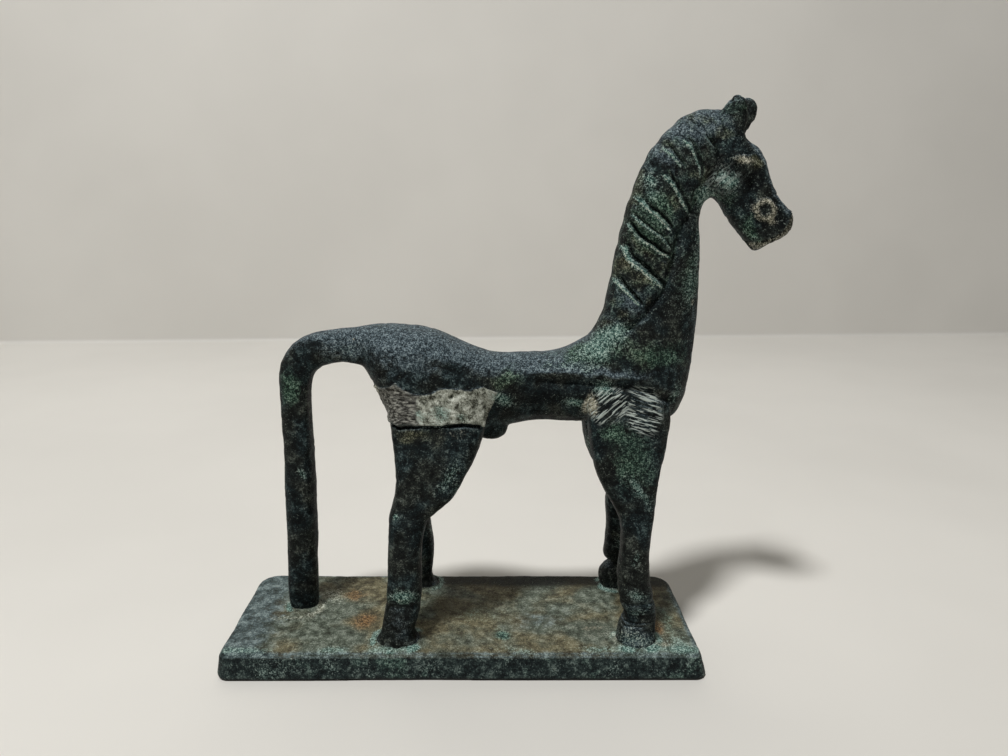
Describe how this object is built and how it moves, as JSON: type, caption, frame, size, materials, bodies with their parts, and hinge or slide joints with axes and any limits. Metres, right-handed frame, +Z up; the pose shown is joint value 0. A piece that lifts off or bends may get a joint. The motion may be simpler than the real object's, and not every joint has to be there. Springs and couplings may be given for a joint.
{
  "type": "horse statuette",
  "caption": "Small cast bronze horse with a high arched neck, a carved mane of diagonal locks and a bar-like tail that reaches down to the rectangular plinth it is fused to.",
  "frame": {"origin": "middle of the plinth's flat underside", "axes": "+X from the tail towards the head, +Y away from the horse's right side, +Z up"},
  "size_m": [0.1411, 0.0428, 0.1406],
  "materials": {
    "bronze": "aged cast bronze, nearly black with a green tinge, worn to a dull grey-blue sheen on its upper faces, turquoise and green verdigris in the grooves, a scratched grey repair over the near hip",
    "plinth_bronze": "aged cast bronze, matt olive brown on top with rust-coloured spots and a pale crust round the feet, dark green sides with verdigris"
  },
  "bodies": {
    "root": {"horse": "bronze", "plinth": "plinth_bronze"}
  },
  "joints": []
}
